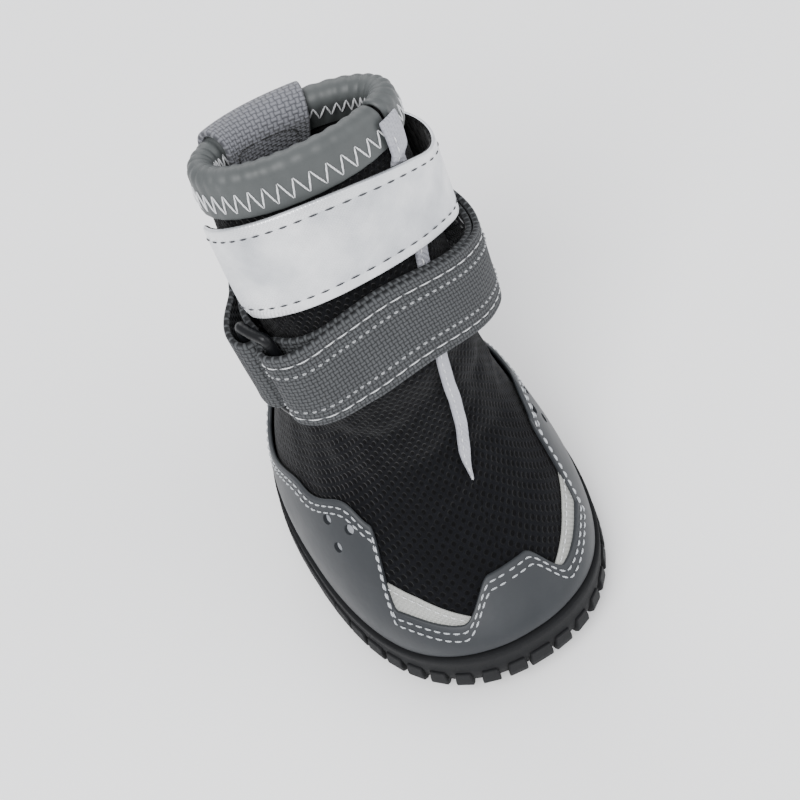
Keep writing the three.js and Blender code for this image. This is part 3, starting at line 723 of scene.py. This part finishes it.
guard, guardLength = sheetPiece("foot_guard", guardMiddle, 420, 16, 1.0, (slateGuard,),
                                ring=True, edge=0.6, across=14)
for angle, rise in guardHoles:
    for side in (-1, 1):
        place = side * math.radians(angle)
        level = float(climb(place, 1.0, rise))
        centre = lifted(np.array(place), np.array(level), np.array(1.0))
        bpy.ops.object.select_all(action="DESELECT")
        bpy.ops.mesh.primitive_cylinder_add(vertices=28, radius=guardCare["hole"] / 2000, depth=0.006,
                                            location=tuple(centre / 1000))
        drill = bpy.context.object
        drill.rotation_euler = Vector(wallOut(place, level)).to_track_quat("Z", "Y").to_euler()
        bpy.context.view_layer.update()
        cut = guard.modifiers.new("hole", "BOOLEAN")
        cut.object = drill
        cut.solver = "EXACT"
        bpy.context.view_layer.objects.active = guard
        bpy.ops.object.modifier_apply(modifier="hole")
        bpy.data.objects.remove(drill)
bpy.ops.object.select_all(action="DESELECT")
guard.select_set(True)
bpy.context.view_layer.objects.active = guard
bpy.ops.object.shade_smooth_by_angle(angle=math.radians(40))
settle(guard, "guard", "guard")

# two rows of stitches that follow the wave, laid by length
waveAngles = np.linspace(0, 1, 1441)


def waveRow(drop, pitch):
    path = guardMiddle(waveAngles, np.ones(1441), drop, 0.52)
    lengths = np.concatenate([[0], np.cumsum(np.linalg.norm(np.diff(path, axis=0), axis=1))])
    raised = guardMiddle(waveAngles, np.ones(1441), drop, 0.62)
    pick = lambda line, d: np.stack([np.interp(d, lengths, line[:, k]) for k in range(3)], -1)
    return stitchRow(lambda d, bow: pick(path, d) + (pick(raised, d) - pick(path, d)) * bow[:, None],
                     lengths[-1], pitch, 0.66)


settle(threadPiece("guard_stitches", waveRow(1.5, 2.0) + waveRow(3.0, 2.0), 0.19, lightThread), "guard")

# pale cloth behind the holes
def patchMiddle(side):
    def middle(s, t):
        angle = side * np.radians(mix(60, 84, s))
        level = climb(angle, 1.0, mix(14.5, np.minimum(25.5, byAngle(guardTop, angle) - 1.8), t))
        return lifted(angle, level, 0.42 + 0 * angle)
    return middle


for side, label in ((-1, "left"), (1, "right")):
    patch, _ = sheetPiece("hole_patch_" + label, patchMiddle(side), 16, 11, 0.16, (holeLining,), edge=0.2, across=8)
    settle(patch, "guard")

# reflective strips under the two low windows of the guard, and their stitches
stripTop = [(18, 9.5), (28, 11.6), (40, 14.2), (50, 15.6), (60, 16.2)]


def stripMiddle(side):
    def middle(s, t):
        angle = side * np.radians(mix(19, 60, s))
        high = np.interp(np.degrees(np.abs(angle)), *zip(*stripTop))
        low = np.minimum(byAngle(guardTop, angle) - 2.5, high - 1.5)
        level = climb(angle, 1.0, mix(low, high, t))
        return lifted(angle, level, 0.46 + 0 * angle)
    return middle


for side, label in ((-1, "left"), (1, "right")):
    strip, _ = sheetPiece("reflective_strip_" + label, stripMiddle(side), 60, 5, 0.55, (reflective,),
                           edge=0.3, across=8)
    settle(strip, "upper")

    def stripPath(d, bow, side=side):
        angle = side * np.radians(mix(22, 57, d / 22.0))
        high = np.interp(np.degrees(np.abs(angle)), *zip(*stripTop)) - 1.2
        return lifted(angle, climb(angle, 1.0, high), 0.8 + 0.08 * bow)
    settle(threadPiece("strip_stitches_" + label, stitchRow(stripPath, 22, 2.0), 0.13, whiteThread), "upper")
print("guard made")

# collar
def overEdge(angle, length, leg, away):
    angle, length, away = np.broadcast_arrays(angle, length, away)
    radius = form["wall"] / 2 + away
    arc = math.pi * radius
    outsideLevel = climb(angle, float(topRow), np.minimum(0, length - leg))
    insideLevel = climb(angle, float(topRow), np.minimum(0, leg + arc - length))
    outside = lifted(angle, outsideLevel, away)
    inside = lifted(angle, insideLevel, -form["wall"] - away)
    out = wallOut(angle, float(topRow) + 0 * angle)
    up = unit(wallAt(angle, float(topRow) + 0 * angle) - wallAt(angle, topRow - 0.04 + 0 * angle))
    fold = np.clip((length - leg) / radius, 0, math.pi)[..., None]
    folded = lifted(angle, float(topRow) + 0 * angle, -form["wall"] / 2 + 0 * angle)
    folded = folded + out * radius[..., None] * np.cos(fold) + up * radius[..., None] * np.sin(fold)
    return np.where((length < leg)[..., None], outside, np.where((length > leg + arc)[..., None], inside, folded))


collarCare = dict(depth=7.0, thickness=1.1, puckers=34)
collarFrom = float(slitAngle(topRow)) + math.radians(1.6)
collarSpan = 2 * math.pi - 2 * math.radians(1.6)
collarTotal = 2 * 7.0 + math.pi * (1 + 0.85)


def collarMiddle(s, t, extra=0.0):
    pucker = 0.1 * np.sin(2 * math.pi * collarCare["puckers"] * s + 1.3 * np.sin(9 * s)) * np.sin(math.pi * t) ** 0.5
    return overEdge(collarFrom + s * collarSpan, t * collarTotal, collarCare["depth"], 0.85 + pucker + extra)


collar, _ = sheetPiece("collar_roll", collarMiddle, 320, collarTotal, 1.1, (greyBinding,), edge=0.5, across=40)
settle(collar, "collar_binding", "collar_binding")


def zigzag(low, high, count, name):
    s = np.linspace(0.012, 0.988, count * 2 + 1)
    path = []
    for k in range(count * 2):
        here, ahead = (low, high) if k % 2 == 0 else (high, low)
        steps = np.linspace(0.06, 0.94, 5)
        sides = collarMiddle(mix(s[k], s[k + 1], steps), mix(here, ahead, steps) / collarTotal,
                             0.6 + 0.1 * np.sin(steps * math.pi))
        path.append(sides)
    return settle(threadPiece(name, path, 0.17, whiteThread), "collar_binding")


zigzag(1.3, 5.6, 40, "zigzag_outside")
zigzag(collarTotal - 5.6, collarTotal - 1.3, 40, "zigzag_inside")

tabCare = dict(leg=13.0, width=20.0, thickness=1.2)
tabAway = 2.3
tabTotal = 2 * tabCare["leg"] + math.pi * (1 + tabAway)
tabCentre = math.radians(-163)
tabRadius = float(np.linalg.norm(wallAt(tabCentre + 0.01, topRow) - wallAt(tabCentre, topRow)) / 0.01)


def tabMiddle(s, t, extra=0.0):
    return overEdge(tabCentre + tabCare["width"] * (t - 0.5) / tabRadius, s * tabTotal,
                    tabCare["leg"], tabAway + extra + 0 * s)


tab, tabLength = sheetPiece("pull_loop", tabMiddle, 120, 20, 1.2, (tabWebbing,), across=24)
settle(tab, "pull_tab", "pull_tab")
boxPath = []
for k in range(44):
    turned = np.linspace(k, k + 0.62, 4) / 44 * 2 * math.pi
    across = 0.5 + 0.36 * np.sign(np.sin(turned)) * np.abs(np.sin(turned)) ** 0.45
    down = tabTotal - 6.2 + 4.6 * np.sign(np.cos(turned)) * np.abs(np.cos(turned)) ** 0.45
    boxPath.append(tabMiddle(down / tabTotal, across, 0.66))
settle(threadPiece("tab_box_stitch", boxPath, 0.2, blackThread), "pull_tab")
print("collar made")

# straps
strapWidth = 20.5
upperLine = [(-95, 9.5), (-50, 9.85), (0, 9.92), (45, 9.55), (75, 9.05), (120, 8.7), (165, 8.75)]
lowerLine = [(-130, 7.4), (-75, 7.9), (0, 8.5), (45, 7.9), (75, 7.2), (120, 6.8), (165, 6.65)]
upperLift = [(-88, 2.2), (-60, 2.3), (-20, 2.6), (50, 2.7), (95, 5), (125, 4), (162, 1)]
lowerLift = [(-66, 2.5), (15, 2.6), (60, 4.6), (95, 6), (125, 4.6), (162, 1)]


def strapPoint(line, angle, share, lift):
    level = climb(angle, flowing(line, np.degrees(angle)), (np.asarray(share) - 0.5) * strapWidth)
    return lifted(angle, level, lift)


def upperStrapMiddle(s, t, extra=0.0):
    low = np.maximum(0, 4 - t * strapWidth)
    cut = 4 - np.sqrt(16 - low ** 2)
    angle = mix(math.radians(-88) + cut / 20, math.radians(162), s)
    ripple = 0.1 * np.sin(s * 60) * np.sin(math.pi * t)
    return strapPoint(upperLine, angle, t, flowing(upperLift, np.degrees(angle)) + extra + ripple)


strap, strapLength = sheetPiece("silver_strap", upperStrapMiddle, 260, strapWidth, 1.2,
                                (silverStrap, blackLining), across=20)
settle(strap, "upper_strap", "upper_strap")
dashes = []
for share in (0.12, 0.88):
    place = lambda d, bow, share=share: upperStrapMiddle(d / strapLength, share + 0 * d, 0.56 + 0.1 * bow)
    dashes += stitchRow(place, strapLength, 3.0, 0.6)
settle(threadPiece("silver_strap_stitches", dashes, 0.17, darkThread), "upper_strap")

ringCare = dict(wire=2.2, inner=23.0)
ringAngle = math.radians(-70)
foldRadius = 1.1 + 0.6 + 0.6
barStep = 2 * (foldRadius + 0.6) + 0.6
ringLift = 2.5 + foldRadius


def foldPoint(bar, side, turned, share):
    angle = bar - side * foldRadius * np.sin(turned) / 19.0
    return strapPoint(lowerLine, angle, share, ringLift - foldRadius * np.cos(turned))


def lowerStrapMiddle(s, t):
    start, end, layer = math.radians(162), math.radians(128), 1.5
    under = mix(start, ringAngle, np.clip(s / 0.45, 0, 1))
    over = mix(ringAngle, end, np.clip((s - 0.55) / 0.45, 0, 1))
    rest = 1 - smooth(over, ringAngle, ringAngle + math.radians(34))
    first = strapPoint(lowerLine, under, t, flowing(lowerLift, np.degrees(under)))
    second = foldPoint(ringAngle, 1, math.pi * np.clip((s - 0.45) / 0.1, 0, 1), t)
    lift = flowing(lowerLift, np.degrees(over)) + layer + (2 * foldRadius - layer) * rest
    third = strapPoint(lowerLine, over, t, lift)
    return np.where((s < 0.45)[..., None], first, np.where((s < 0.55)[..., None], second, third))


webbing, webbingLength = sheetPiece("webbing_strap", lowerStrapMiddle, 420, strapWidth, 1.2,
                                     (strapWebbing,), across=20)
settle(webbing, "lower_strap", "lower_strap")
webbingDashes, webbingDots = [], []
for share, dashes in ((0.12, webbingDashes), (0.25, webbingDots), (0.75, webbingDots), (0.88, webbingDashes)):
    def webbingPlace(d, bow, share=share):
        s = d / webbingLength
        here, ahead = lowerStrapMiddle(s, share + 0 * s), lowerStrapMiddle(s + 0.002, share + 0 * s)
        sideways = lowerStrapMiddle(s, share + 0.02 + 0 * s)
        out = unit(np.cross(unit(ahead - here), unit(sideways - here)))
        return here + out * (0.55 + 0.12 * bow)[:, None]
    pitch, cover = (3.2, 0.85) if dashes is webbingDashes else (1.7, 0.5)
    dashes += stitchRow(webbingPlace, webbingLength * 0.985, pitch, cover)
settle(threadPiece("webbing_seams", webbingDashes, 0.12, whiteThread), "lower_strap")
settle(threadPiece("webbing_dots", webbingDots, 0.24, paleThread), "lower_strap")


def strapTabMiddle(s, t):
    bar, end = ringAngle - barStep / 19.0, math.radians(-128)
    first, last = 1 - np.clip(s / 0.4, 0, 1), np.clip((s - 0.6) / 0.4, 0, 1)
    under = strapPoint(lowerLine, mix(bar, end, first), t, mix(2.5, 1, smooth(first, 0, 0.8)))
    turned = foldPoint(bar, -1, math.pi * np.clip((s - 0.4) / 0.2, 0, 1), t)
    over = strapPoint(lowerLine, mix(bar, end, last), t, mix(2.5 + 2 * foldRadius, 2.5, smooth(last, 0, 0.8)))
    return np.where((s < 0.4)[..., None], under, np.where((s < 0.6)[..., None], turned, over))


ringTab, ringTabLength = sheetPiece("ring_tab", strapTabMiddle, 160, strapWidth, 1.2, (strapWebbing,), across=20)
settle(ringTab, "strap_tab", "strap_tab")



def anchorRows(middle, places, lift):
    rows = []
    for s in places:
        here = lambda d, bow, s=s: middle(s + 0 * d, d / strapWidth + 0.06, lift * (1 + 0.15 * bow))
        rows += stitchRow(here, strapWidth * 0.88, 2.0, 0.62)
    return rows


def raisedOver(middle):
    def place(s, t, lift):
        along = middle(np.clip(s + 0.002, 0, 1), t) - middle(np.clip(s - 0.002, 0, 1), t)
        across = middle(s, np.clip(t + 0.01, 0, 1)) - middle(s, np.clip(t - 0.01, 0, 1))
        return middle(s, t) + unit(np.cross(along, across)) * np.asarray(lift)[..., None]
    return place


settle(threadPiece("silver_strap_anchor", anchorRows(raisedOver(upperStrapMiddle), (0.965, 0.985), 0.58),
                   0.17, darkThread), "upper_strap")
settle(threadPiece("ring_tab_anchor", anchorRows(raisedOver(strapTabMiddle), (0.94, 0.97), -0.58),
                   0.18, paleThread), "strap_tab")
settle(threadPiece("webbing_anchor", anchorRows(raisedOver(lowerStrapMiddle), (0.975, 0.99), 0.58),
                   0.18, paleThread), "lower_strap")

seamLevels = np.linspace(3.4, 8.05, 90)
seamPath = lifted(math.pi + 0 * seamLevels, seamLevels, upperSwell(math.pi + 0 * seamLevels, seamLevels) + 0.12)
settle(threadPiece("back_seam", [seamPath], 0.45, blackLining, 10), "upper")

ringCentre = ringAngle - barStep / 2 / 19.0
turns = np.linspace(0, 2 * math.pi, 140, endpoint=False)
ringAcross = (ringCare["inner"] + ringCare["wire"]) / 2 * np.sign(np.sin(turns)) * np.abs(np.sin(turns)) ** 0.35
ringAlong = barStep / 2 * np.sign(np.cos(turns)) * np.abs(np.cos(turns)) ** 0.2
ringPath = strapPoint(lowerLine, ringCentre + ringAlong / 19.0, 0.5 + ringAcross / strapWidth, ringLift + 0 * turns)
ringPiece = threadPiece("strap_ring", [ringPath], ringCare["wire"] / 2, hardPlastic, 18, True)
settle(ringPiece, "ring", "ring")
print("straps made")

# sole
def soleEdge(angle, grow, height):
    angle = np.asarray(angle, dtype=float)
    here = wallAt(angle, 1.0)
    around = unit(wallAt(angle + 0.01, 1.0) - wallAt(angle - 0.01, 1.0))
    out = unit(np.stack([around[..., 1], -around[..., 0], 0 * angle], -1))
    pull = np.clip(-np.asarray(grow, dtype=float), 0, 28)[..., None] / 28
    target = np.stack([0 * angle, here[..., 1] * 0.3, 0 * angle], -1)
    point = mix(here, target, pull) + out * np.maximum(0, grow)[..., None]
    point[..., 2] = height + soleRise(point[..., 1])
    return point


def cupSole():
    turns = np.linspace(0, 2 * math.pi, 300, endpoint=False)
    whole = np.ones(300)
    rows = [soleEdge(turns, grow * whole, height) for grow, height in
            ((-26, 2.4), (-20, 2.4), (-8, 2.4), (1.3, 2.4), (1.8, 2.75), (2.15, 5.6), (2.2, 7.2), (2.05, 7.9))]
    for share, lift in ((0.8, 2.35), (0.94, 2.3), (0.985, 2.15), (1.0, 1.8),
                        (1.004, 1.3), (1.0, 0.8), (0.985, 0.45), (0.9, 0.4)):
        rows.append(lifted(turns, rimTop(turns) * share, lift * whole))
    rows.append(lifted(turns, rimTop(turns) / 2, 0.6 * whole))
    for share in (1, 0.7, 0.35, 0.05):
        point = lifted(turns, 0 * turns, 0.6 * whole) * share
        point[:, 2] = form["floor"] + soleRise(point[:, 1])
        rows.append(point)
    points = np.array(rows)
    faces = gridFaces(len(rows), 300, False, True)
    faces.append(tuple(range(299, -1, -1)))
    faces.append(tuple((len(rows) - 1) * 300 + k for k in range(300)))
    return makeObject("cup_sole", points.reshape(-1, 3), faces, None, (soleRubber,), None, 50)


def prism(sections):
    sides = len(sections[0])
    points = [p for section in sections for p in section]
    faces = gridFaces(len(sections), sides, False, True)
    faces.append(tuple(range(sides - 1, -1, -1)))
    faces.append(tuple((len(sections) - 1) * sides + k for k in range(sides)))
    return points, faces


def gathered(name, prisms, material, bevel):
    points, faces = [], []
    for more, sides in prisms:
        faces += [tuple(len(points) + i for i in face) for face in sides]
        points += more
    piece = makeObject(name, points, faces, None, (material,), None, 30)
    soften = piece.modifiers.new("soft", "BEVEL")
    soften.width = bevel / 1000
    soften.segments = 2
    soften.limit_method = "ANGLE"
    bpy.context.view_layer.objects.active = piece
    bpy.ops.object.modifier_apply(modifier="soft")
    piece.select_set(True)
    bpy.ops.object.shade_smooth_by_angle(angle=math.radians(35))
    piece.select_set(False)
    return piece


soleCare = dict(edgeLugs=44, halfWidth=2.0 / 34, treadSide=11.0, groove=1.2, lug=2.4)
edgeTurns = np.linspace(0, 2 * math.pi, 721)
edgeLengths = np.concatenate([[0], np.cumsum(
    np.linalg.norm(np.diff(soleEdge(edgeTurns, 0 * edgeTurns, 0), axis=0), axis=1))])


def edgeLug(angle):
    sections = []
    for inner, outer, height, taper in ((-5, 1.6, 0, 0.92), (-4, 2.9, 1.6, 1), (-0.4, 2.95, 3.4, 1),
                                        (1.2, 2.7, 6.6, 0.86)):
        corners = [(inner, -1), (outer, -1), (outer, 1), (inner, 1)]
        sections.append([soleEdge(angle + side * taper * soleCare["halfWidth"], np.array(grow), height)
                         for grow, side in corners])
    return prism(sections)


def treads():
    made = []
    row = soleCare["treadSide"] * math.sqrt(3) / 2
    size = soleCare["treadSide"] / math.sqrt(3) - soleCare["groove"]
    for j in range(-5, 6):
        for i in range(-8, 9):
            up = (i + j) % 2 == 0
            middle = (i * soleCare["treadSide"] / 2, j * row + (0 if up else row / 3))
            def corner(k, height, taper):
                turned = 2 * math.pi * k / 3 + (math.pi / 2 if up else -math.pi / 2)
                x, y = middle[0] + size * taper * math.cos(turned), middle[1] + size * taper * math.sin(turned)
                return np.array([x, y, height + float(soleRise(np.array(y)))])
            corners = [corner(k, 0, 1) for k in range(3)]
            edges = [soleEdge(math.atan2(c[0], -c[1]), np.array(-6.6), 0) for c in corners]
            if all(math.hypot(c[0], c[1]) < math.hypot(e[0], e[1]) - 0.2 for c, e in zip(corners, edges)):
                made.append(prism([[corner(k, 0, 0.94) for k in range(3)], [corner(k, 3.2, 1) for k in range(3)]]))
    return made


settle(cupSole(), "outsole", "outsole")
lugs = [edgeLug(float(np.interp(edgeLengths[-1] * k / 44, edgeLengths, edgeTurns))) for k in range(44)]
settle(gathered("edge_lugs", lugs, soleRubber, 0.35), "outsole")
settle(gathered("tread_blocks", treads(), soleRubber, 0.25), "outsole")

footRows = []
footTurns = np.linspace(0, 2 * math.pi, 160, endpoint=False)
for share, height in ((0.1, 0), (0.6, 0), (0.97, 0), (1, 0.35), (1, 1.4),
                      (0.985, 1.75), (0.93, 1.8), (0.6, 1.72), (0.1, 1.7)):
    point = lifted(footTurns, 0 * footTurns, -2.3 + 0 * footTurns) * share
    point[:, 2] = form["floor"] + 0.6 + height + soleRise(point[:, 1])
    footRows.append(point)
footFaces = gridFaces(len(footRows), 160, False, True)
footFaces += [tuple(range(159, -1, -1)), tuple((len(footRows) - 1) * 160 + k for k in range(160))]
settle(makeObject("foot_bed", np.array(footRows).reshape(-1, 3), footFaces, None, (footbed,)), "insole", "insole")
print("sole made")

# floor, lights, camera
bpy.ops.object.select_all(action="DESELECT")
bpy.ops.mesh.primitive_plane_add(size=4, location=(0, 0, 0))
floor = bpy.context.object
floor.name = "floor"
paper, _, paperShader, _ = startMaterial("palePaper", (0.96, 0.96, 0.96), 0.9)
floor.data.materials.append(paper)

world = bpy.data.worlds.new("studio") if bpy.context.scene.world is None else bpy.context.scene.world
bpy.context.scene.world = world
world.use_nodes = True
world.node_tree.nodes["Background"].inputs[0].default_value = (0.95, 0.96, 1.0, 1)
world.node_tree.nodes["Background"].inputs[1].default_value = 0.95


def softLight(name, place, aim, size, watts):
    light = bpy.data.lights.new(name, "AREA")
    light.energy, light.size = watts, size
    lamp = bpy.data.objects.new(name, light)
    lamp.location = place
    lamp.rotation_euler = (Vector(aim) - Vector(place)).to_track_quat("-Z", "Y").to_euler()
    bpy.context.collection.objects.link(lamp)


softLight("keyLight", (-0.35, -0.35, 0.75), (0, 0, 0.04), 0.5, 9.0)
softLight("fillLight", (0.6, -0.3, 0.5), (0, 0, 0.05), 0.7, 3.0)
softLight("backLight", (0.1, 0.7, 0.5), (0, 0, 0.07), 0.5, 3.0)

view = dict(azimuth=-14.3, elevation=57.2, roll=18.5, distance=0.369, target=(0.0, 0.0, 0.050), lens=84.0)


def makeCamera():
    a, e, r = (math.radians(view[key]) for key in ("azimuth", "elevation", "roll"))
    toCamera = Vector((math.sin(a) * math.cos(e), -math.cos(a) * math.cos(e), math.sin(e)))
    right = Vector((math.cos(a), math.sin(a), 0))
    up = toCamera.cross(right)
    turnedRight = right * math.cos(r) - up * math.sin(r)
    turnedUp = right * math.sin(r) + up * math.cos(r)
    camera = bpy.data.objects.new("camera", bpy.data.cameras.new("camera"))
    camera.data.lens = view["lens"]
    camera.data.clip_start = 0.01
    axes = (turnedRight, turnedUp, toCamera)
    for column, axis in enumerate(axes):
        for row in range(3):
            camera.matrix_world[row][column] = axis[row]
    matrix = camera.matrix_world.copy()
    matrix.translation = Vector(view["target"]) + toCamera * view["distance"]
    camera.matrix_world = matrix
    bpy.context.collection.objects.link(camera)
    bpy.context.scene.camera = camera


makeCamera()
print("camera and lights made")
